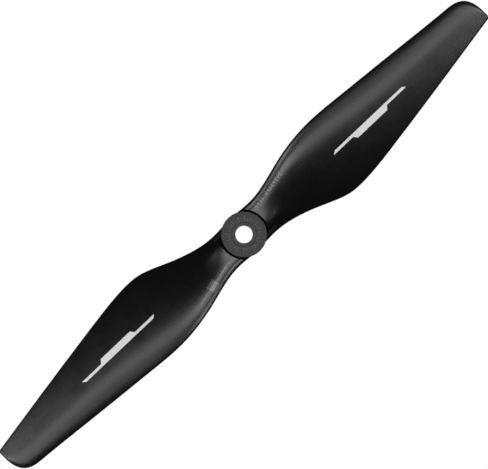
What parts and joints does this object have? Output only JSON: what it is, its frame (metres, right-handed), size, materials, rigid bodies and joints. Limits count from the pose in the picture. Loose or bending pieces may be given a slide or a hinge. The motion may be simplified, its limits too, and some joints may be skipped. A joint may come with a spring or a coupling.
{
  "type": "propeller",
  "caption": "Fixed-pitch propeller with opposed swept-back blades, a round hub with a flat clamping face, a flanged shaft bush pushed in from behind and a printed stripe on each blade.",
  "frame": {"origin": "on the spin axis, at half the hub's thickness", "axes": "+X along blade_a from the axis to its tip, +Z along the spin axis in the thrust direction, out of the hub's front face"},
  "size_m": [0.254, 0.034, 0.0126],
  "materials": {
    "blade_nylon": "satin black glass-filled nylon",
    "hub_nylon": "fine matt texture on black nylon",
    "bush_nylon": "turned matt black nylon",
    "print_ink": "light grey printed ink"
  },
  "bodies": {
    "propeller": {"hub_barrel": "blade_nylon", "hub_face_disc": "hub_nylon", "blade_a": "blade_nylon", "blade_b": "blade_nylon", "stripe_print_a": "print_ink", "stripe_print_b": "print_ink"},
    "bush": {"shaft_bush": "bush_nylon"}
  },
  "joints": [
    {"name": "bush_pull_out", "type": "slide", "parent": "propeller", "child": "bush", "axis": [0, 0, -1], "range_m": [0, 0.012]}
  ]
}
